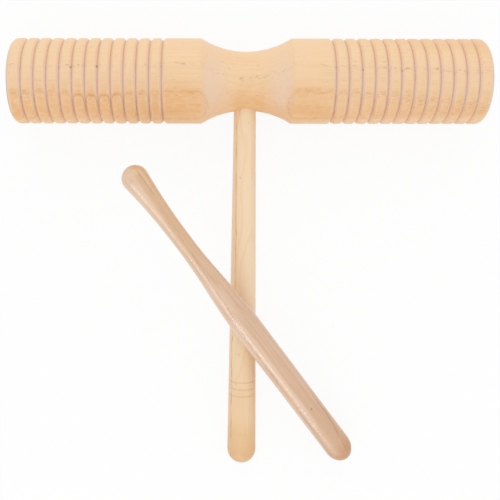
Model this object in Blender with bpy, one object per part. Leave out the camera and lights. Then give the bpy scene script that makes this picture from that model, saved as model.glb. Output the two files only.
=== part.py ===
"""Ribbed two-tone guiro: a turned block on a dowel handle, and the beater laid across it.

Metres, +Z up. The block lies along X on the floor. Its handle runs towards -Y, sinks
to the floor and rests on its tip. The beater's thick end is on the floor and its knob
end is up, because it leans on the handle. The origin is on the floor, under the middle
of the whole.
"""

from math import asin, cos, floor, pi, radians, sin, sqrt

import bmesh
import bpy
from mathutils import Vector
from mathutils.geometry import intersect_line_line

# Block: a cylinder with a waist, ribbed and bored from both ends
BLOCK_LENGTH = 0.200
BLOCK_RADIUS = 0.01817
RIM_ROUND = 0.0028            # outer edge of each end face
NECK_SHIFT = -0.00093         # the waist sits a little left of the middle
NECK_LENGTH = 0.0384
NECK_RADIUS = 0.0126          # at the thinnest place

# Ribs: V grooves cut from each end inwards
END_RIDGE = 0.0062            # from an end face to the middle of the first groove
LEFT_PITCH = 0.00523
RIGHT_PITCH = 0.00533
SHORTEST_LAND = 0.0155        # this much beside the waist always stays plain
GROOVE_WIDTH = 0.0022
GROOVE_DEPTH = 0.0012
LIP_ROUND = 0.0006            # worn edge on both sides of a groove

# Sound chambers: one from each end, of two depths for two tones
CHAMBER_RADIUS = 0.0125
MOUTH_ROUND = 0.0005
LEFT_WEB = 0.0110             # solid wood between the waist's edge and the chamber
RIGHT_WEB = 0.0210

# Handle: a dowel that thickens towards its tip, glued into the waist
HANDLE_LENGTH = 0.1727
HANDLE_ROOT_RADIUS = 0.0047
HANDLE_TIP_RADIUS = 0.00625
HANDLE_SHIFT = -0.0004        # from the middle of the waist
HANDLE_LEAN = radians(0.33)   # seen from above, towards the left end
WOOD_BEHIND_SOCKET = 0.0080
SOCKET_GAP = 0.0003           # glue line, around the handle and behind it
ROOT_CHAMFER = 0.0004

# Rings scribed round the handle near its tip
RING_COUNT = 3
RING_FROM_TIP = 0.0315
RING_PITCH = 0.0031
RING_WIDTH = 0.0006
RING_DEPTH = 0.0003

# Beater: thick end, long narrowing, waist, flare and knob
BEATER_LENGTH = 0.1642
BEATER_RADIUS = 0.0059
BEATER_END_ROUND = 0.0075     # length of the thick end's rounding
NARROWING_LENGTH = 0.0453
WAIST_LENGTH = 0.0040
WAIST_RADIUS = 0.0037
FLARE_LENGTH = 0.0309         # from the waist to the middle of the knob
KNOB_RADIUS = 0.0055

# How the beater lies
CROSSING_REACH = 0.1025       # from the block's axis to where it passes over the handle
LOW_SIDE_LENGTH = 0.0738      # along the beater, from there to its end's rounding
BEATER_TURN = radians(126.07)  # seen from above, from +X to the knob
SEAT_GAP = 0.0003

# Facets: multiples of four, so that a corner lies at each side of a turned piece
BLOCK_SIDES = 32
STICK_SIDES = 20
CUTTER_OVERRUN = 0.0050
STEEPEST_BEATER = radians(60)
TILT_STEPS = 48


def arc(height, radius, bend, start, end, steps):
    """Points on a circle about (height, radius), by angle from the axis's direction."""
    turn = (end - start) / steps
    angles = [start + turn * i for i in range(steps + 1)]
    return [(height + bend * cos(a), radius + bend * sin(a)) for a in angles]


def turned(name, outline, sides):
    """A solid turned about Z from an outline of (height, radius) points, axis to axis."""
    bm = bmesh.new()
    verts = [bm.verts.new((radius, 0, height)) for height, radius in outline]
    edges = [bm.edges.new(pair) for pair in zip(verts, verts[1:])]
    bmesh.ops.spin(bm, geom=verts + edges, cent=(0, 0, 0), axis=(0, 0, 1),
                   angle=2 * pi, steps=sides, use_merge=True)
    bmesh.ops.remove_doubles(bm, verts=bm.verts, dist=1e-7)
    bmesh.ops.recalc_face_normals(bm, faces=bm.faces)
    mesh = bpy.data.meshes.new(name)
    bm.to_mesh(mesh)
    bm.free()
    mesh.shade_smooth()
    mesh.set_sharp_from_angle(angle=radians(25))
    solid = bpy.data.objects.new(name, mesh)
    bpy.context.collection.objects.link(solid)
    return solid


def wood(name, colour, roughness):
    """A plain wood finish: linear colour and roughness."""
    material = bpy.data.materials.new(name)
    material.use_nodes = True
    shader = material.node_tree.nodes["Principled BSDF"]
    shader.inputs["Base Color"].default_value = (*colour, 1)
    shader.inputs["Roughness"].default_value = roughness
    shader.inputs["Metallic"].default_value = 0
    return material


def aim(solid, place, direction):
    """Puts a turned solid's zero point at a place, with its Z along a direction."""
    solid.location = place
    solid.rotation_mode = "QUATERNION"
    solid.rotation_quaternion = direction.to_track_quat("Z", "Y")


def groove(middle):
    """One V groove with a worn lip on each side, from low to high along the block."""
    half = GROOVE_WIDTH / 2
    flank = sqrt(half ** 2 + GROOVE_DEPTH ** 2)
    lip = (half + LIP_ROUND, BLOCK_RADIUS)
    edge = (half - LIP_ROUND * half / flank, BLOCK_RADIUS - LIP_ROUND * GROOVE_DEPTH / flank)
    rising = [(middle + along, radius) for along, radius in (edge, lip)]
    falling = [(middle - along, radius) for along, radius in (lip, edge)]
    return falling + [(middle, BLOCK_RADIUS - GROOVE_DEPTH)] + rising


def ribs(length, pitch):
    """The grooves of one half, whose outer face is at -length and whose plain end is at 0."""
    count = floor((length - END_RIDGE - SHORTEST_LAND) / pitch) + 1
    points = []
    for i in range(count):
        points += groove(-length + END_RIDGE + pitch * i)
    return points


def half_outline(length, pitch, web):
    """One half of the block, from its chamber's floor to the waist's edge at 0."""
    mouth = -length
    chamber = [
        (-web, 0),
        (-web, CHAMBER_RADIUS),
        (mouth + MOUTH_ROUND, CHAMBER_RADIUS),
        (mouth, CHAMBER_RADIUS + MOUTH_ROUND),
    ]
    rim = arc(mouth + RIM_ROUND, BLOCK_RADIUS - RIM_ROUND, RIM_ROUND, pi, pi / 2, 4)
    return chamber + rim + ribs(length, pitch)


def block_outline():
    """The whole section of the block, from the left chamber's floor to the right one's."""
    left_edge = NECK_SHIFT - NECK_LENGTH / 2
    right_edge = NECK_SHIFT + NECK_LENGTH / 2
    left_half = half_outline(left_edge + BLOCK_LENGTH / 2, LEFT_PITCH, LEFT_WEB)
    right_half = half_outline(BLOCK_LENGTH / 2 - right_edge, RIGHT_PITCH, RIGHT_WEB)
    sag = BLOCK_RADIUS - NECK_RADIUS
    bend = ((NECK_LENGTH / 2) ** 2 + sag ** 2) / (2 * sag)
    swing = asin(NECK_LENGTH / 2 / bend)
    neck = arc(NECK_SHIFT, NECK_RADIUS + bend, bend, -pi / 2 - swing, -pi / 2 + swing, 14)
    outline = [(left_edge + height, radius) for height, radius in left_half]
    outline += neck
    outline += [(right_edge - height, radius) for height, radius in reversed(right_half)]
    return outline


def handle_inset():
    """How far the handle's root goes past the block's axis."""
    return NECK_RADIUS - WOOD_BEHIND_SOCKET - SOCKET_GAP


def handle_end():
    """From the block's axis to the middle of the handle's round tip, along the handle."""
    return HANDLE_LENGTH - handle_inset() - HANDLE_TIP_RADIUS


def handle_radius(along):
    """Straight inside the waist, then a straight taper to the tip."""
    share = (along - NECK_RADIUS) / (handle_end() - NECK_RADIUS)
    return HANDLE_ROOT_RADIUS + (HANDLE_TIP_RADIUS - HANDLE_ROOT_RADIUS) * max(share, 0)


def handle_outline():
    """The handle's section, from its root to its tip, with the scribed rings."""
    root = -handle_inset()
    outline = [
        (root, 0),
        (root, HANDLE_ROOT_RADIUS - ROOT_CHAMFER),
        (root + ROOT_CHAMFER, HANDLE_ROOT_RADIUS),
        (NECK_RADIUS, HANDLE_ROOT_RADIUS),
    ]
    tip = handle_end() + HANDLE_TIP_RADIUS
    for i in reversed(range(RING_COUNT)):
        middle = tip - RING_FROM_TIP - RING_PITCH * i
        for offset, depth in ((-RING_WIDTH / 2, 0), (0, RING_DEPTH), (RING_WIDTH / 2, 0)):
            outline.append((middle + offset, handle_radius(middle + offset) - depth))
    outline += arc(handle_end(), 0, HANDLE_TIP_RADIUS, pi / 2, 0, 5)
    return outline


def handle_direction():
    """Down the handle: its tip rests on the floor, lower than the block's axis."""
    sink = asin((BLOCK_RADIUS - HANDLE_TIP_RADIUS) / handle_end())
    level = Vector((-sin(HANDLE_LEAN), -cos(HANDLE_LEAN), 0))
    return level * cos(sink) - Vector((0, 0, sin(sink)))


def block_place():
    """The block's middle, over the floor."""
    return Vector((0, 0, BLOCK_RADIUS))


def handle_place():
    """Where the handle's axis meets the block's."""
    return block_place() + Vector((NECK_SHIFT + HANDLE_SHIFT, 0, 0))


def beater_radius(along):
    """The beater's radius from its thick end's rounding up to its knob."""
    knob = BEATER_LENGTH - BEATER_END_ROUND - KNOB_RADIUS
    waist_end = knob - FLARE_LENGTH
    waist_start = waist_end - WAIST_LENGTH
    shoulder = waist_start - NARROWING_LENGTH
    if along <= shoulder:
        return BEATER_RADIUS
    if along < waist_start:
        share = (1 + cos(pi * (along - shoulder) / NARROWING_LENGTH)) / 2
        return WAIST_RADIUS + (BEATER_RADIUS - WAIST_RADIUS) * share
    if along <= waist_end:
        return WAIST_RADIUS
    bend = flare_bend()
    return WAIST_RADIUS + bend - sqrt(bend ** 2 - (along - waist_end) ** 2)


def flare_bend():
    """The flare is one arc that touches both the straight waist and the knob's ball."""
    rise = KNOB_RADIUS - WAIST_RADIUS
    return (FLARE_LENGTH ** 2 + WAIST_RADIUS ** 2 - KNOB_RADIUS ** 2) / (2 * rise)


def beater_outline():
    """The beater's section, zero where its thick end starts to round."""
    knob = BEATER_LENGTH - BEATER_END_ROUND - KNOB_RADIUS
    waist_end = knob - FLARE_LENGTH
    shoulder = waist_end - WAIST_LENGTH - NARROWING_LENGTH
    touch = asin(FLARE_LENGTH / (flare_bend() + KNOB_RADIUS))
    end = arc(0, 0, BEATER_RADIUS, pi, pi / 2, 6)
    outline = [(height * BEATER_END_ROUND / BEATER_RADIUS, radius) for height, radius in end]
    for i in range(13):
        along = shoulder + NARROWING_LENGTH * i / 12
        outline.append((along, beater_radius(along)))
    for i in range(8):
        along = waist_end + (FLARE_LENGTH - KNOB_RADIUS * sin(touch)) * i / 8
        outline.append((along, beater_radius(along)))
    outline += arc(knob, 0, KNOB_RADIUS, pi / 2 + touch, 0, 7)
    return outline


def beater_pose(tilt):
    """Foot and direction of the beater's axis, with its thick end touching the floor."""
    level = Vector((cos(BEATER_TURN), sin(BEATER_TURN), 0))
    crossing = handle_place() + handle_direction() * (CROSSING_REACH / -handle_direction().y)
    foot = crossing - level * LOW_SIDE_LENGTH * cos(tilt)
    foot.z = sqrt((BEATER_END_ROUND * sin(tilt)) ** 2 + (BEATER_RADIUS * cos(tilt)) ** 2)
    return foot, level * cos(tilt) + Vector((0, 0, sin(tilt)))


def beater_clearance(tilt):
    """How far the beater's skin is from its seat on the handle, at a tilt."""
    foot, direction = beater_pose(tilt)
    start = handle_place()
    on_handle, on_beater = intersect_line_line(start, start + handle_direction(),
                                               foot, foot + direction)
    radii = handle_radius((on_handle - start).length) + beater_radius((on_beater - foot).length)
    return (on_handle - on_beater).length - radii - SEAT_GAP


def beater_tilt():
    """The tilt at which the beater leans on the handle, found by halving."""
    low, high = 0, STEEPEST_BEATER
    for _ in range(TILT_STEPS):
        middle = (low + high) / 2
        if beater_clearance(middle) < 0:
            low = middle
        else:
            high = middle
    return high


def front_reach():
    """From the block's axis to the front of the whole: the handle's tip or the beater's."""
    handle_reach = HANDLE_TIP_RADIUS - handle_direction().y * handle_end()
    foot, direction = beater_pose(beater_tilt())
    along = BEATER_END_ROUND * direction.y
    across = BEATER_RADIUS * sqrt(1 - direction.y ** 2)
    beater_reach = sqrt(along ** 2 + across ** 2) - foot.y
    return max(handle_reach, beater_reach)


def build_block():
    """The ribbed block and the cutter of the handle's socket in its waist."""
    block = turned("scraper_block", block_outline(), BLOCK_SIDES)
    aim(block, block_place(), Vector((1, 0, 0)))
    block.data.materials.append(wood("block_wood", (0.83, 0.55, 0.31), 0.55))
    floor_of_socket = -handle_inset() - SOCKET_GAP
    socket_radius = HANDLE_ROOT_RADIUS + SOCKET_GAP
    outside = BLOCK_RADIUS + CUTTER_OVERRUN
    cutter = turned("socket_cutter", [
        (floor_of_socket, 0),
        (floor_of_socket, socket_radius),
        (outside, socket_radius),
        (outside, 0),
    ], STICK_SIDES)
    aim(cutter, handle_place(), handle_direction())
    cutter.hide_render = True
    cutter.display_type = "WIRE"
    cut = block.modifiers.new("handle_socket", "BOOLEAN")
    cut.operation = "DIFFERENCE"
    cut.solver = "EXACT"
    cut.object = cutter
    return [block, cutter]


def build_handle():
    """The dowel handle."""
    handle = turned("handle", handle_outline(), STICK_SIDES)
    aim(handle, handle_place(), handle_direction())
    handle.data.materials.append(wood("handle_wood", (0.87, 0.62, 0.37), 0.5))
    return [handle]


def build_beater():
    """The loose beater, leaning on the handle."""
    beater = turned("beater", beater_outline(), STICK_SIDES)
    foot, direction = beater_pose(beater_tilt())
    aim(beater, foot, direction)
    beater.data.materials.append(wood("beater_wood", (0.74, 0.46, 0.29), 0.4))
    return [beater]


def main():
    for old in list(bpy.data.objects):
        bpy.data.objects.remove(old, do_unlink=True)
    whole = bpy.data.objects.new("whole", None)
    whole.location.y = (front_reach() - BLOCK_RADIUS) / 2
    bpy.context.collection.objects.link(whole)
    for piece in build_block() + build_handle() + build_beater():
        piece.parent = whole


main()
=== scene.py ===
"""Ribbed two-tone guiro with its beater: fine turned woodwork and its finishes."""

from math import asin, atan2, cos, floor, pi, radians, sin, sqrt, tan

import bmesh
import bpy
import numpy as np
from mathutils import Matrix, Vector


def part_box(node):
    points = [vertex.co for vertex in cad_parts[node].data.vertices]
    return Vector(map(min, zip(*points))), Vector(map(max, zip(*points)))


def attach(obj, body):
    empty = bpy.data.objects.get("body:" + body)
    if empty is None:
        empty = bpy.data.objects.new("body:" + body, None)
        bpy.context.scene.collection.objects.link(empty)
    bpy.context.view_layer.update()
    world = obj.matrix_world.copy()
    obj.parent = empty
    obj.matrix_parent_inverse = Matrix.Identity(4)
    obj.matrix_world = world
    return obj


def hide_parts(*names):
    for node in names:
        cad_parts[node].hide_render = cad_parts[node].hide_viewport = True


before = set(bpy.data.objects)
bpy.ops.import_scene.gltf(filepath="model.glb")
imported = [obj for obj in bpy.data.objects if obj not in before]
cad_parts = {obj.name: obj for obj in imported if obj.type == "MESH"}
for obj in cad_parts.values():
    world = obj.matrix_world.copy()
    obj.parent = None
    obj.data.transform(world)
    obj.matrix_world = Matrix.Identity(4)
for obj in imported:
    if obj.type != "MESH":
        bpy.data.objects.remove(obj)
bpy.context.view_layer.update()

MM = 0.001

# Block, in metres: a cylinder with a waist, ribbed and bored from both ends
RIM_ROUND = 0.0028
NECK_SHIFT = -0.00093
NECK_LENGTH = 0.0384
NECK_RADIUS = 0.0126
NECK_EDGE_ROUND = 0.0012
END_RIDGE = 0.0062
LEFT_PITCH = 0.00523
RIGHT_PITCH = 0.00533
SHORTEST_LAND = 0.0155
GROOVE_WIDTH = 0.0022
GROOVE_DEPTH = 0.0012
SHOULDER_ROUND = 0.0011
CHAMBER_RADIUS = 0.0125
MOUTH_ROUND = 0.0005
LEFT_WEB = 0.0110
RIGHT_WEB = 0.0210

# Handle, in metres
HANDLE_ROOT_RADIUS = 0.0047
HANDLE_TIP_RADIUS = 0.00625
ROOT_CHAMFER = 0.0004
RING_COUNT = 3
RING_FROM_TIP = 0.0315
RING_PITCH = 0.0031
RING_WIDTH = 0.0006
RING_DEPTH = 0.0002

# Beater, in metres
BEATER_RADIUS = 0.0059
BEATER_END_ROUND = 0.0075
NARROWING_LENGTH = 0.0453
WAIST_LENGTH = 0.0040
WAIST_RADIUS = 0.0037
FLARE_LENGTH = 0.0309
KNOB_RADIUS = 0.0055

# Steps round a turned piece, and along the curves of its outline
BLOCK_SIDES = 144
STICK_SIDES = 72
EDGE_STEPS = 4
MOUTH_STEPS = 3
RIM_STEPS = 12
HOLLOW_STEPS = 48
HANDLE_TIP_STEPS = 16
BEATER_END_STEPS = 18
NARROWING_STEPS = 40
KNOB_STEPS = 24
MERGE_DISTANCE = 1e-7         # metres
SHARP_ANGLE = 30              # degrees: an edge that bends more isn't shaded smooth

# Pin knots beside the grooves, in mm from the block's middle: up the picture, front, along
KNOT_PLACES = (
    (6.9, 16.6, -46.9),
    (4.0, 16.8, -62.6),
    (3.6, 16.8, -73.4),
    (2.6, 16.8, 46.3),
    (2.2, 16.8, 62.4),
)

# Camera
CAMERA_PLACE = (-0.01632, -0.03898, 0.32581)    # metres from the block's middle
CAMERA_TURN = 0.00373         # radians
CAMERA_ROLL = -0.00136        # radians
CAMERA_FOCUS = 758.11         # pixels
PICTURE_SIZE = 500            # pixels, both ways
CAMERA_AXIS = (213, 172)      # the pixel that the lens points at
SENSOR = 36                   # mm

# The rays that see the studio plain white, and how far the floor follows that
SEEN_RAYS = ("Is Camera Ray", "Is Glossy Ray", "Is Transmission Ray")
FLOOR_WHITENESS = 0.9
FLOOR_REACH = 3               # metres from its middle to its edges
WORLD_LIGHT = 0.80            # the world's strength for all other rays

# Square lamps that point at the origin: place and width in metres, watts
BACK_LIGHT = ((0, 1.1, 0.75), 0.9, 3.0)
FRONT_LIGHT = ((-0.1, -1.1, 0.7), 1.1, 2.7)
SHINE_LIGHT = ((-0.35, -1.1, 0.5), 0.25, 2.35)


class Wire:
    """A socket that arithmetic works on: each sign adds its Math node."""

    def __init__(self, finish, socket):
        self.finish = finish
        self.socket = socket

    def __add__(self, other):
        return self.finish.math("ADD", self, other)

    def __sub__(self, other):
        return self.finish.math("SUBTRACT", self, other)

    def __rsub__(self, other):
        return self.finish.math("SUBTRACT", other, self)

    def __mul__(self, other):
        return self.finish.math("MULTIPLY", self, other)

    def __truediv__(self, other):
        return self.finish.math("DIVIDE", self, other)

    def __pow__(self, other):
        return self.finish.math("POWER", self, other)

    def __abs__(self):
        return self.finish.math("ABSOLUTE", self)

    __radd__ = __add__


class Finish:
    """A material, with its Principled shader and the makers of its nodes."""

    def __init__(self, name):
        self.material = bpy.data.materials.new(name)
        self.material.use_nodes = True
        self.tree = self.material.node_tree
        self.shader = self.tree.nodes["Principled BSDF"]

    def plug(self, socket, value):
        """Links a wire to a socket, or sets the socket's own value."""
        if isinstance(value, Wire):
            self.tree.links.new(value.socket, socket)
        else:
            socket.default_value = value

    def shade(self, name, value):
        """Gives the shader's socket of that name a value or a wire."""
        self.plug(self.shader.inputs[name], value)

    def node(self, kind, inputs, settings=None, output=0):
        """Any node: its settings first, then the values or wires of its sockets."""
        made = self.tree.nodes.new("ShaderNode" + kind)
        for name, value in (settings or {}).items():
            setattr(made, name, value)
        for name, value in inputs.items():
            self.plug(made.inputs[name], value)
        return Wire(self, made.outputs[output])

    def math(self, operation, *values):
        return self.node("Math", dict(enumerate(values)), {"operation": operation})

    def blend(self, factor, low, high):
        """A colour between two colours; the numbers are the Mix node's colour sockets."""
        low, high = (c if isinstance(c, Wire) else (*c, 1) for c in (low, high))
        inputs = {0: factor, 6: low, 7: high}
        return self.node("Mix", inputs, {"data_type": "RGBA"}, output=2)

    def step(self, value, low, high):
        """0 under low, 1 over high, smooth between; where high is under low, it falls."""
        inputs = {"Value": value, "From Min": low, "From Max": high}
        return self.node("MapRange", inputs, {"interpolation_type": "SMOOTHSTEP"})

    def local(self, place, direction):
        """Millimetres from a place: across, towards the viewer and along a direction."""
        turn = direction.to_track_quat("Z", "Y").to_euler()
        point = self.node("TexCoord", {}, output="Object")
        inputs = {"Vector": point, "Location": place, "Rotation": turn, "Scale": (MM, MM, MM)}
        return self.node("Mapping", inputs, {"vector_type": "TEXTURE"})

    def parts(self, vector):
        """The three numbers of a vector."""
        first = self.node("SeparateXYZ", {"Vector": vector})
        outputs = first.socket.node.outputs
        return [Wire(self, outputs[i]) for i in range(3)]

    def vector(self, x, y, z):
        return self.node("CombineXYZ", {"X": x, "Y": y, "Z": z})

    def noise(self, vector, across, along, detail, offset=0):
        """Cloudy noise about 0.5: features per mm across the grain and along it.

        Another offset gives another pattern of the same kind.
        """
        inputs = {0: vector, 1: (across, across, along), 2: (offset, offset, offset)}
        stretched = self.node("VectorMath", inputs, {"operation": "MULTIPLY_ADD"})
        return self.node("TexNoise", {"Vector": stretched, "Scale": 1, "Detail": detail})

    def speck(self, point, place, size):
        """1 within a small dot about a place and 0 round it, in millimetres."""
        settings = {"operation": "DISTANCE"}
        away = self.node("VectorMath", {0: point, 1: place}, settings, output="Value")
        return self.step(away, size, size * 0.4)

    def relief(self, height, depth):
        """The fine relief of the surface, in metres for a height from 0 to 1."""
        bump = self.node("Bump", {"Height": height, "Distance": depth, "Strength": 1})
        self.shade("Normal", bump)


def arc(height, radius, bend, start, end, steps):
    """Points on a circle about (height, radius), by angle from the axis's direction."""
    turn = (end - start) / steps
    angles = [start + turn * i for i in range(steps + 1)]
    return [(height + bend * cos(a), radius + bend * sin(a)) for a in angles]


def turned(name, outline, sides, place, direction):
    """A piece turned about an axis from an outline of (height, radius) points."""
    bm = bmesh.new()
    verts = [bm.verts.new((radius, 0, height)) for height, radius in outline]
    edges = [bm.edges.new(pair) for pair in zip(verts, verts[1:])]
    bmesh.ops.spin(bm, geom=verts + edges, cent=(0, 0, 0), axis=(0, 0, 1),
                   angle=2 * pi, steps=sides, use_merge=True)
    bmesh.ops.remove_doubles(bm, verts=bm.verts, dist=MERGE_DISTANCE)
    bmesh.ops.recalc_face_normals(bm, faces=bm.faces)
    turn = direction.to_track_quat("Z", "Y").to_matrix().to_4x4()
    bmesh.ops.transform(bm, matrix=Matrix.Translation(place) @ turn, verts=bm.verts)
    mesh = bpy.data.meshes.new(name)
    bm.to_mesh(mesh)
    bm.free()
    mesh.shade_smooth()
    mesh.set_sharp_from_angle(angle=radians(SHARP_ANGLE))
    piece = bpy.data.objects.new(name, mesh)
    bpy.context.scene.collection.objects.link(piece)
    return piece


def stand_for(piece, node, finish):
    """The piece takes a node's place and body, with its finish."""
    piece.data.materials.append(finish.material)
    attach(piece, "root")
    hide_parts(node)


def axis_of(node, towards):
    """The two ends of a turned node's axis, the second one towards a direction."""
    corners = np.array([v.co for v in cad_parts[node].data.vertices], float)
    corners = np.unique(corners.round(7), axis=0)
    middle = corners.mean(0)
    along = np.linalg.svd(corners - middle, full_matrices=False)[2][0]
    along *= np.sign(along @ np.array(towards))
    reach = (corners - middle) @ along
    return Vector(middle + along * reach.min()), Vector(middle + along * reach.max())


# Block

def groove(middle, radius):
    """One V groove between two rounded shoulders, from low to high along the block."""
    flank = atan2(GROOVE_DEPTH, GROOVE_WIDTH / 2)
    start = GROOVE_WIDTH / 2 + SHOULDER_ROUND * tan(flank / 2)
    edge_middle = radius - SHOULDER_ROUND
    low = arc(middle - start, edge_middle, SHOULDER_ROUND,
              pi / 2, pi / 2 - flank, EDGE_STEPS)
    high = arc(middle + start, edge_middle, SHOULDER_ROUND,
               pi / 2 + flank, pi / 2, EDGE_STEPS)
    return low + [(middle, radius - GROOVE_DEPTH)] + high


def ribs(length, pitch, radius):
    """The grooves of one half, whose outer face is at -length and whose plain end is at 0."""
    count = floor((length - END_RIDGE - SHORTEST_LAND) / pitch) + 1
    points = []
    for i in range(count):
        points += groove(-length + END_RIDGE + pitch * i, radius)
    return points


def half_outline(length, radius, pitch, web):
    """One half of the block, from its chamber's floor to the waist's edge at 0."""
    mouth = -length
    chamber = [(-web, 0), (-web, CHAMBER_RADIUS)]
    chamber += arc(mouth + MOUTH_ROUND, CHAMBER_RADIUS + MOUTH_ROUND, MOUTH_ROUND,
                   -pi / 2, -pi, MOUTH_STEPS)
    rim = arc(mouth + RIM_ROUND, radius - RIM_ROUND, RIM_ROUND, pi, pi / 2, RIM_STEPS)
    return chamber + rim + ribs(length, pitch, radius)


def waist(radius):
    """The concave waist with a softened edge on both sides, about its own middle."""
    sag = radius - NECK_RADIUS
    bend = ((NECK_LENGTH / 2) ** 2 + sag ** 2) / (2 * sag)
    middle = NECK_RADIUS + bend
    edge_middle = radius - NECK_EDGE_ROUND
    reach = sqrt((bend + NECK_EDGE_ROUND) ** 2 - (middle - edge_middle) ** 2)
    swing = asin(reach / (bend + NECK_EDGE_ROUND))
    left = arc(-reach, edge_middle, NECK_EDGE_ROUND, pi / 2, pi / 2 - swing, EDGE_STEPS)
    hollow = arc(0, middle, bend, -pi / 2 - swing, -pi / 2 + swing, HOLLOW_STEPS)
    right = arc(reach, edge_middle, NECK_EDGE_ROUND, pi / 2 + swing, pi / 2, EDGE_STEPS)
    return left[:-1] + hollow + right[1:]


def make_block():
    low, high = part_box("scraper_block")
    half_length = (high.x - low.x) / 2
    radius = (high.z - low.z) / 2
    middle = (low + high) / 2
    left_edge = NECK_SHIFT - NECK_LENGTH / 2
    right_edge = NECK_SHIFT + NECK_LENGTH / 2
    left = half_outline(left_edge + half_length, radius, LEFT_PITCH, LEFT_WEB)
    right = half_outline(half_length - right_edge, radius, RIGHT_PITCH, RIGHT_WEB)
    outline = [(left_edge + height, r) for height, r in left]
    outline += [(NECK_SHIFT + height, r) for height, r in waist(radius)]
    outline += [(right_edge - height, r) for height, r in reversed(right)]
    along = Vector((1, 0, 0))
    block = turned("ribbed_block", outline, BLOCK_SIDES, middle, along)
    stand_for(block, "scraper_block", block_finish(middle, radius / MM))


def block_finish(middle, radius):
    """Pale peach wood. Lengths are in millimetres, and places count from the middle."""
    finish = Finish("peach_wood")
    point = finish.local(middle, Vector((1, 0, 0)))
    up, front, along = finish.parts(point)
    out = finish.math("SQRT", up ** 2 + front ** 2)

    # Growth rings: shells about the tree's heart, far above the block and behind it
    heart_up = 136
    heart_front = -146.8
    heart_distance = 200
    sway = (finish.noise(point, 0.05, 0.015, 2) - 0.5) * 0.9
    ring = finish.math("SQRT", (up - heart_up) ** 2 + (front - heart_front) ** 2)
    ring = ring - heart_distance + sway
    fleck_ring = abs(along) * 0.02 + along * 0.008 + 9.7
    swell = finish.step(abs(along + 63.5), 24, 2)
    figure_place = 16.95
    figure_ring = swell * 0.55 + finish.step(along, 20, 110) * 1.3 + figure_place
    spacing = 1.95
    turn = finish.math("FRACT", (ring - figure_place) / spacing + 0.5)
    late = finish.step(abs(turn - 0.5), 0.26, 0.02)

    fibre = finish.noise(point, 2.6, 0.09, 3)
    cloud = finish.noise(point, 0.09, 0.025, 2, 7)
    mottle = finish.noise(point, 0.5, 0.3, 3, 13)
    # Darker and more orange towards the bottom: partly the wood's own colour, partly painted
    # shade, and less so again at the very bottom edge
    droop = finish.step(abs(along + 35), 20, 60) * 2.2
    low_tone_and_shade = finish.step(up + droop, 4, -13) * (1 - finish.step(up, -13.5, -18) * 0.65)
    paler = finish.step(along, 28, 43) * 0.42 + finish.step(abs(along + 13), 11, 4) * 0.5
    low_tone_and_shade = low_tone_and_shade * (1 - paler)
    high_side = finish.step(along, 20, 95) * finish.step(up, 4, 14)
    left_end = finish.step(along, -80, -94)

    pale = (0.925, 0.645, 0.39)
    deep = (0.845, 0.47, 0.197)
    tone = low_tone_and_shade * 0.9 + (cloud - 0.5) * 0.7 + (fibre - 0.5) * 0.9 + late * 0.12
    tone = tone + low_tone_and_shade * (mottle - 0.5) * (left_end * 1.4 + 1) + high_side * 0.28
    colour = finish.blend(finish.math("MAXIMUM", tone, 0), pale, deep)

    # Cut fibres and painted sheen: the flanks of the waist and of the grooves are paler and
    # pinker, partly their cut-fibre colour and partly a painted highlight, strongest at middle
    # height
    lean = finish.parts(finish.node("NewGeometry", {}, output="Normal"))[0]
    open_grain = finish.step(abs(lean), 0.10, 0.50)
    fuzz = finish.noise(point, 0.6, 0.5, 4, 11)
    sheen_at_middle = finish.step(abs(up + 3), 15, 3) * 0.6 + 0.3
    from_waist = abs(along - NECK_SHIFT / MM)
    waist_half = NECK_LENGTH / MM / 2
    edge = 1 - finish.step(abs(from_waist - waist_half), 4.5, 0) * 0.6
    colour = finish.blend(open_grain * sheen_at_middle * edge * (fuzz + 0.5), colour, (0.88, 0.64, 0.48))

    # One ring grazes the front of the ribs on the left and closes into loops there
    loops = finish.step(abs(ring - sway - figure_ring), 0.24, 0.03)
    figured = finish.step(abs(along + 62.5), 14, 7) * finish.step(up, -16.5, -10) * 0.65 + 0.06
    colour = finish.blend(loops * figured, colour, (0.74, 0.36, 0.10))

    # Pores: short brown dashes, crowded along two rings, one of them with orange flecks too
    crowd = finish.step(abs(ring - fleck_ring), 1.0, 0.1) * 0.10
    low_crowd = finish.step(abs(ring - figure_ring), 1.0, 0.1)
    dash = finish.noise(point, 2.6, 0.45, 2, 3)
    pores = finish.step(dash + crowd + low_crowd * 0.03, 0.68, 0.78)
    colour = finish.blend(pores * 0.55, colour, (0.50, 0.25, 0.09))
    flame = finish.step(finish.noise(point, 2.9, 0.35, 3, 17) + low_crowd * 0.1, 0.61, 0.68)
    colour = finish.blend(flame * low_crowd * 0.5, colour, (0.72, 0.36, 0.12))
    for place in KNOT_PLACES:
        knot = finish.speck(point, place, 0.65)
        colour = finish.blend(knot * 0.7, colour, (0.30, 0.14, 0.06))

    # Painted shade: the bottom of a groove is darkened to a dusky line
    on_ribs = finish.step(from_waist, waist_half, 30)
    groove_shade = finish.step(out, radius - 0.8, radius - 1.1) * on_ribs
    colour = finish.blend(groove_shade * 0.28, colour, (0.36, 0.25, 0.23))

    finish.shade("Base Color", colour)
    finish.shade("Roughness", 0.52 + (fibre - 0.5) * 0.3 + pores * 0.2)
    finish.relief(fibre * 0.5 - pores * 0.7, 0.0001)
    return finish


# Handle

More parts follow.
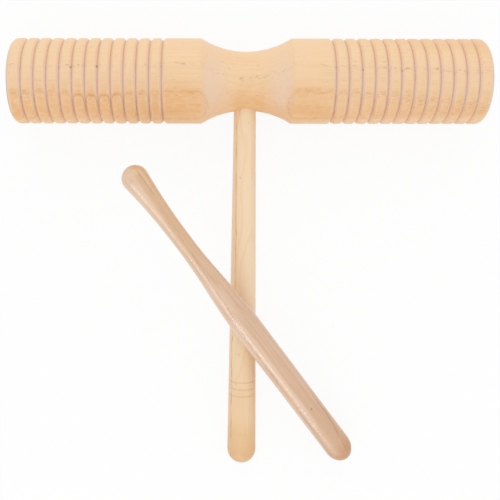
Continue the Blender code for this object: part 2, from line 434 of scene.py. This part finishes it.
def make_handle():
    root, tip = axis_of("handle", (0, -1, 0))
    length = (tip - root).length
    low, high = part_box("scraper_block")
    axis_y = (low.y + high.y) / 2
    direction = (tip - root).normalized()

    # The dowel keeps its thin root until it is out of the waist, and widens from there
    straight = (root.y - axis_y + NECK_RADIUS) / -direction.y
    outline = [
        (0, 0),
        (0, HANDLE_ROOT_RADIUS - ROOT_CHAMFER),
        (ROOT_CHAMFER, HANDLE_ROOT_RADIUS),
        (straight, HANDLE_ROOT_RADIUS),
    ]
    end = length - HANDLE_TIP_RADIUS

    def radius_at(height):
        share = (height - straight) / (end - straight)
        return HANDLE_ROOT_RADIUS + (HANDLE_TIP_RADIUS - HANDLE_ROOT_RADIUS) * share

    for i in reversed(range(RING_COUNT)):
        ring = length - RING_FROM_TIP - RING_PITCH * i
        for offset, depth in ((-RING_WIDTH / 2, 0), (0, RING_DEPTH), (RING_WIDTH / 2, 0)):
            outline.append((ring + offset, radius_at(ring + offset) - depth))
    outline += arc(end, 0, HANDLE_TIP_RADIUS, pi / 2, 0, HANDLE_TIP_STEPS)
    handle = turned("dowel_handle", outline, STICK_SIDES, root, direction)
    stand_for(handle, "handle", handle_finish(root, direction, length / MM))


def handle_finish(root, direction, length):
    """Cream wood with a wavy brown grain line. Lengths are in millimetres from the root."""
    finish = Finish("cream_wood")
    point = finish.local(root, direction)
    side, front, along = finish.parts(point)
    fibre = finish.noise(point, 2.0, 0.03, 3)
    cloud = finish.noise(point, 0.25, 0.02, 2, 5)
    tone = finish.step(along, 105, 150) * 0.55 - 0.05
    tone = tone + (cloud - 0.5) * 0.7 + (fibre - 0.5) * 0.6
    tone = tone + finish.step(along, length - 24, length - 3) * 1.25
    tone = finish.math("MAXIMUM", tone, 0)
    colour = finish.blend(tone, (0.945, 0.72, 0.485), (0.84, 0.55, 0.30))
    round_end = finish.step(along, length - 13, length - 4)
    colour = finish.blend(round_end * 0.8, colour, (0.78, 0.47, 0.235))

    # Faint growth lines meet in long points on the front
    bow = (finish.noise(point, 0.08, 0.02, 2, 15) - 0.5) * 5
    turn = finish.math("FRACT", front * 0.55 + side * 0.18 + along * 0.012 + bow)
    late = finish.step(abs(turn - 0.5), 0.22, 0.03)
    colour = finish.blend(late * 0.22, colour, (0.84, 0.53, 0.27))

    # A grain line bends outwards at the waist and runs down the left, warm beside it
    sway = finish.noise(finish.vector(0, 0, along), 1, 0.12, 3) - 0.5
    seam_side = finish.step(along, 24, 15) * 1.4 - finish.step(along, 90, 125) * 1.35
    seam_side = seam_side - 3.5 + sway
    upper = finish.step(front, 0, 1.5)
    warm = finish.step(abs(side - seam_side + 0.3), 1.0, 0.2) * upper
    colour = finish.blend(warm * 0.25, colour, (0.90, 0.58, 0.29))
    seam = finish.step(abs(side - seam_side), 0.34, 0.04) * upper
    strength = finish.step(finish.noise(point, 0.3, 0.16, 3, 9), 0.35, 0.75) * 0.8 + 0.12
    colour = finish.blend(seam * strength, colour, (0.60, 0.32, 0.13))
    knot = finish.speck(point, (-2.0, 5.0, 45.5), 0.8)
    colour = finish.blend(knot * 0.35, colour, (0.45, 0.26, 0.16))

    dash = finish.noise(point, 1.9, 0.35, 2, 3)
    pores = finish.step(dash, 0.72, 0.78)
    colour = finish.blend(pores * 0.6, colour, (0.45, 0.25, 0.12))

    # The scribed rings hold a little colour
    for i in range(RING_COUNT):
        ring = length - (RING_FROM_TIP + RING_PITCH * i) / MM
        line = finish.step(abs(along - ring), 0.45, 0.05)
        colour = finish.blend(line * 0.22, colour, (0.62, 0.40, 0.24))

    finish.shade("Base Color", colour)
    finish.shade("Roughness", 0.5)
    finish.relief(fibre * 0.5 - pores * 0.5, 0.0001)
    return finish


# Beater

def make_beater():
    end, knob_tip = axis_of("beater", (0, 0, 1))
    length = (knob_tip - end).length
    direction = (knob_tip - end).normalized()
    knob = length - KNOB_RADIUS
    waist_end = knob - FLARE_LENGTH
    shoulder = waist_end - WAIST_LENGTH - NARROWING_LENGTH

    # The flare is an arc that leaves the waist level and touches the knob's ball
    rise = KNOB_RADIUS - WAIST_RADIUS
    bend = (FLARE_LENGTH ** 2 + WAIST_RADIUS ** 2 - KNOB_RADIUS ** 2) / (2 * rise)
    touch = asin(FLARE_LENGTH / (bend + KNOB_RADIUS))
    flare = arc(waist_end, WAIST_RADIUS + bend, bend, -pi / 2, -pi / 2 + touch, KNOB_STEPS)

    outline = []
    for height, radius in arc(0, 0, BEATER_RADIUS, pi, pi / 2, BEATER_END_STEPS):
        outline.append((BEATER_END_ROUND + height * BEATER_END_ROUND / BEATER_RADIUS, radius))
    for i in range(NARROWING_STEPS + 1):
        share = (1 + cos(pi * i / NARROWING_STEPS)) / 2
        radius = WAIST_RADIUS + (BEATER_RADIUS - WAIST_RADIUS) * share
        outline.append((shoulder + NARROWING_LENGTH * i / NARROWING_STEPS, radius))
    outline += flare[:-1] + arc(knob, 0, KNOB_RADIUS, pi / 2 + touch, 0, KNOB_STEPS)
    beater = turned("beater_stick", outline, STICK_SIDES, end, direction)
    stand_for(beater, "beater", beater_finish(end, direction))


def beater_finish(end, direction):
    """Pinkish tan wood, waxed. Lengths are in millimetres from the thick end."""
    finish = Finish("tan_wood")
    point = finish.local(end, direction)
    side, front, along = finish.parts(point)
    brown = (0.42, 0.22, 0.13)
    fibre = finish.noise(point, 2.4, 0.05, 3)
    streak = finish.noise(point, 0.7, 0.012, 2, 5)

    # A dark grain line crosses the front from right of the knob to left of the middle,
    # and the wood on its right is darker; towards the knob the wood beside it is golden
    wander = (finish.noise(finish.vector(0, 0, along), 1, 0.09, 3) - 0.5) * 1.2
    above = finish.math("MAXIMUM", along - 72, 0)
    below = finish.math("MAXIMUM", 72 - along, 0)
    past = side + above * 0.07 + finish.step(along, 72, 90) * 0.27
    past = past - below * 0.016 - 3.5 + wander
    upper = finish.step(front, 0, 1)
    knob_half = finish.step(along, 95, 145)
    darker = finish.step(past - knob_half, 0.8, -0.8) * (knob_half * 0.25 + 0.3)
    tone = darker + finish.step(along, 60, 5) * finish.step(side, 2.4, 0.8) * 0.5 + 0.22
    tone = tone + finish.step(side, 1.5, -1.5) * (1 - knob_half) * 0.22
    tone = tone + finish.step(along, 34, 14) * 0.25
    tone = tone + knob_half * finish.step(abs(past - 1.1), 1.5, 0.2) * fibre * 0.7
    tone = tone - knob_half * finish.step(past, 2.2, 3.8) * 0.14
    tone = tone + (streak - 0.5) * 1.7 + (fibre - 0.5) * 1.5
    low = finish.math("MAXIMUM", tone, 0)
    colour = finish.blend(low, (0.82, 0.59, 0.43), (0.69, 0.43, 0.265))
    golden = knob_half * (finish.step(past, 3.6, 0.9) * 0.22 + 0.08)
    colour = finish.blend(golden, colour, (0.79, 0.51, 0.22))
    vein = finish.step(abs(past), 0.34, 0.04) * upper
    strength = finish.step(finish.noise(point, 0.5, 0.2, 3, 9), 0.36, 0.66) * 0.6 + 0.12
    colour = finish.blend(vein * strength * (1 - knob_half * 0.4), colour, brown)
    knot = finish.speck(point, (-1.0, 5.8, 32.8), 0.55)
    colour = finish.blend(knot * 0.8, colour, (0.30, 0.14, 0.07))

    # The thick end is orange brown, with a second grain line on its right
    warm = finish.step(along, 42, 6) * finish.step(side, -2, -4.4) * 0.4
    warm = warm + finish.step(along, 14, 3) * 0.9
    colour = finish.blend(warm * (fibre + 0.45), colour, (0.60, 0.31, 0.14))
    second = finish.step(abs(side - finish.step(along, 26, 0) * 2.8 + 4.9 + wander), 0.4, 0.05)
    second = second * finish.step(along, 38, 28) * upper
    colour = finish.blend(second * strength * 0.9, colour, brown)

    dash = finish.noise(point, 2.2, 0.5, 2, 3)
    pores = finish.step(dash, 0.68, 0.78)
    colour = finish.blend(pores * 0.5, colour, brown)
    finish.shade("Base Color", colour)
    finish.shade("Specular IOR Level", 0.75)
    duller = finish.step(along, 28, 8) * 0.06
    finish.shade("Roughness", 0.28 + (fibre - 0.5) * 0.25 + duller)
    chatter = finish.noise(point, 0.5, 1.1, 3, 21)
    finish.relief(fibre * 0.4 - pores * 0.3 + chatter, 0.00017)
    return finish


# Studio

def make_floor():
    finish = Finish("white_floor")
    finish.shade("Base Color", (0.97, 0.97, 0.97, 1))
    finish.shade("Roughness", 0.9)
    finish.shade("Specular IOR Level", 0)
    seen = [finish.node("LightPath", {}, output=name) for name in SEEN_RAYS]
    white = finish.node("Emission", {"Color": (1, 1, 1, 1), "Strength": 1})
    lit = Wire(finish, finish.shader.outputs[0])
    share = (seen[0] + seen[1] + seen[2]) * FLOOR_WHITENESS
    surface = finish.node("MixShader", {0: share, 1: lit, 2: white})
    output = finish.tree.nodes["Material Output"]
    finish.plug(output.inputs["Surface"], surface)
    bm = bmesh.new()
    bmesh.ops.create_grid(bm, x_segments=1, y_segments=1, size=FLOOR_REACH)
    mesh = bpy.data.meshes.new("floor")
    bm.to_mesh(mesh)
    bm.free()
    floor_sheet = bpy.data.objects.new("floor", mesh)
    bpy.context.scene.collection.objects.link(floor_sheet)
    floor_sheet.data.materials.append(finish.material)


def make_softbox(name, place, size, watts):
    light = bpy.data.lights.new(name, "AREA")
    light.shape = "SQUARE"
    light.size = size
    light.energy = watts
    lamp = bpy.data.objects.new(name, light)
    lamp.location = place
    lamp.rotation_mode = "QUATERNION"
    lamp.rotation_quaternion = (-Vector(place)).to_track_quat("-Z", "Y")
    bpy.context.scene.collection.objects.link(lamp)
    return lamp


def make_world():
    """Even white light from all round; the camera and reflections see plain white."""
    world = bpy.data.worlds.new("studio")
    world.use_nodes = True
    bpy.context.scene.world = world
    tree = world.node_tree
    shade = tree.nodes["Background"]
    path = tree.nodes.new("ShaderNodeLightPath")
    strength = tree.nodes.new("ShaderNodeMapRange")
    strength.inputs["To Min"].default_value = WORLD_LIGHT
    strength.inputs["To Max"].default_value = 1
    total = path.outputs[SEEN_RAYS[0]]
    for name in SEEN_RAYS[1:]:
        joined = tree.nodes.new("ShaderNodeMath")
        joined.operation = "ADD"
        tree.links.new(total, joined.inputs[0])
        tree.links.new(path.outputs[name], joined.inputs[1])
        total = joined.outputs[0]
    tree.links.new(total, strength.inputs["Value"])
    tree.links.new(strength.outputs[0], shade.inputs["Strength"])
    shade.inputs["Color"].default_value = (1, 1, 1, 1)


def make_camera():
    low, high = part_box("scraper_block")
    lens = bpy.data.cameras.new("camera")
    lens.sensor_width = SENSOR
    lens.lens = SENSOR * CAMERA_FOCUS / PICTURE_SIZE
    lens.shift_x = (PICTURE_SIZE / 2 - CAMERA_AXIS[0]) / PICTURE_SIZE
    lens.shift_y = (CAMERA_AXIS[1] - PICTURE_SIZE / 2) / PICTURE_SIZE
    lens.clip_start = 0.01
    camera = bpy.data.objects.new("camera", lens)
    camera.location = (low + high) / 2 + Vector(CAMERA_PLACE)
    camera.rotation_euler = (0, -CAMERA_TURN, -CAMERA_ROLL)
    bpy.context.scene.collection.objects.link(camera)
    bpy.context.scene.camera = camera


def make_studio():
    make_floor()
    make_world()
    make_softbox("back_light", *BACK_LIGHT)
    make_softbox("front_light", *FRONT_LIGHT)

    # This lamp gives only the shine: in diffuse light its shadow of the knob is too sharp
    shine = make_softbox("shine_light", *SHINE_LIGHT)
    shine.visible_diffuse = False

    bpy.context.scene.view_settings.view_transform = "Standard"


make_camera()
make_block()
make_handle()
make_beater()
make_studio()

bpy.context.view_layer.update()
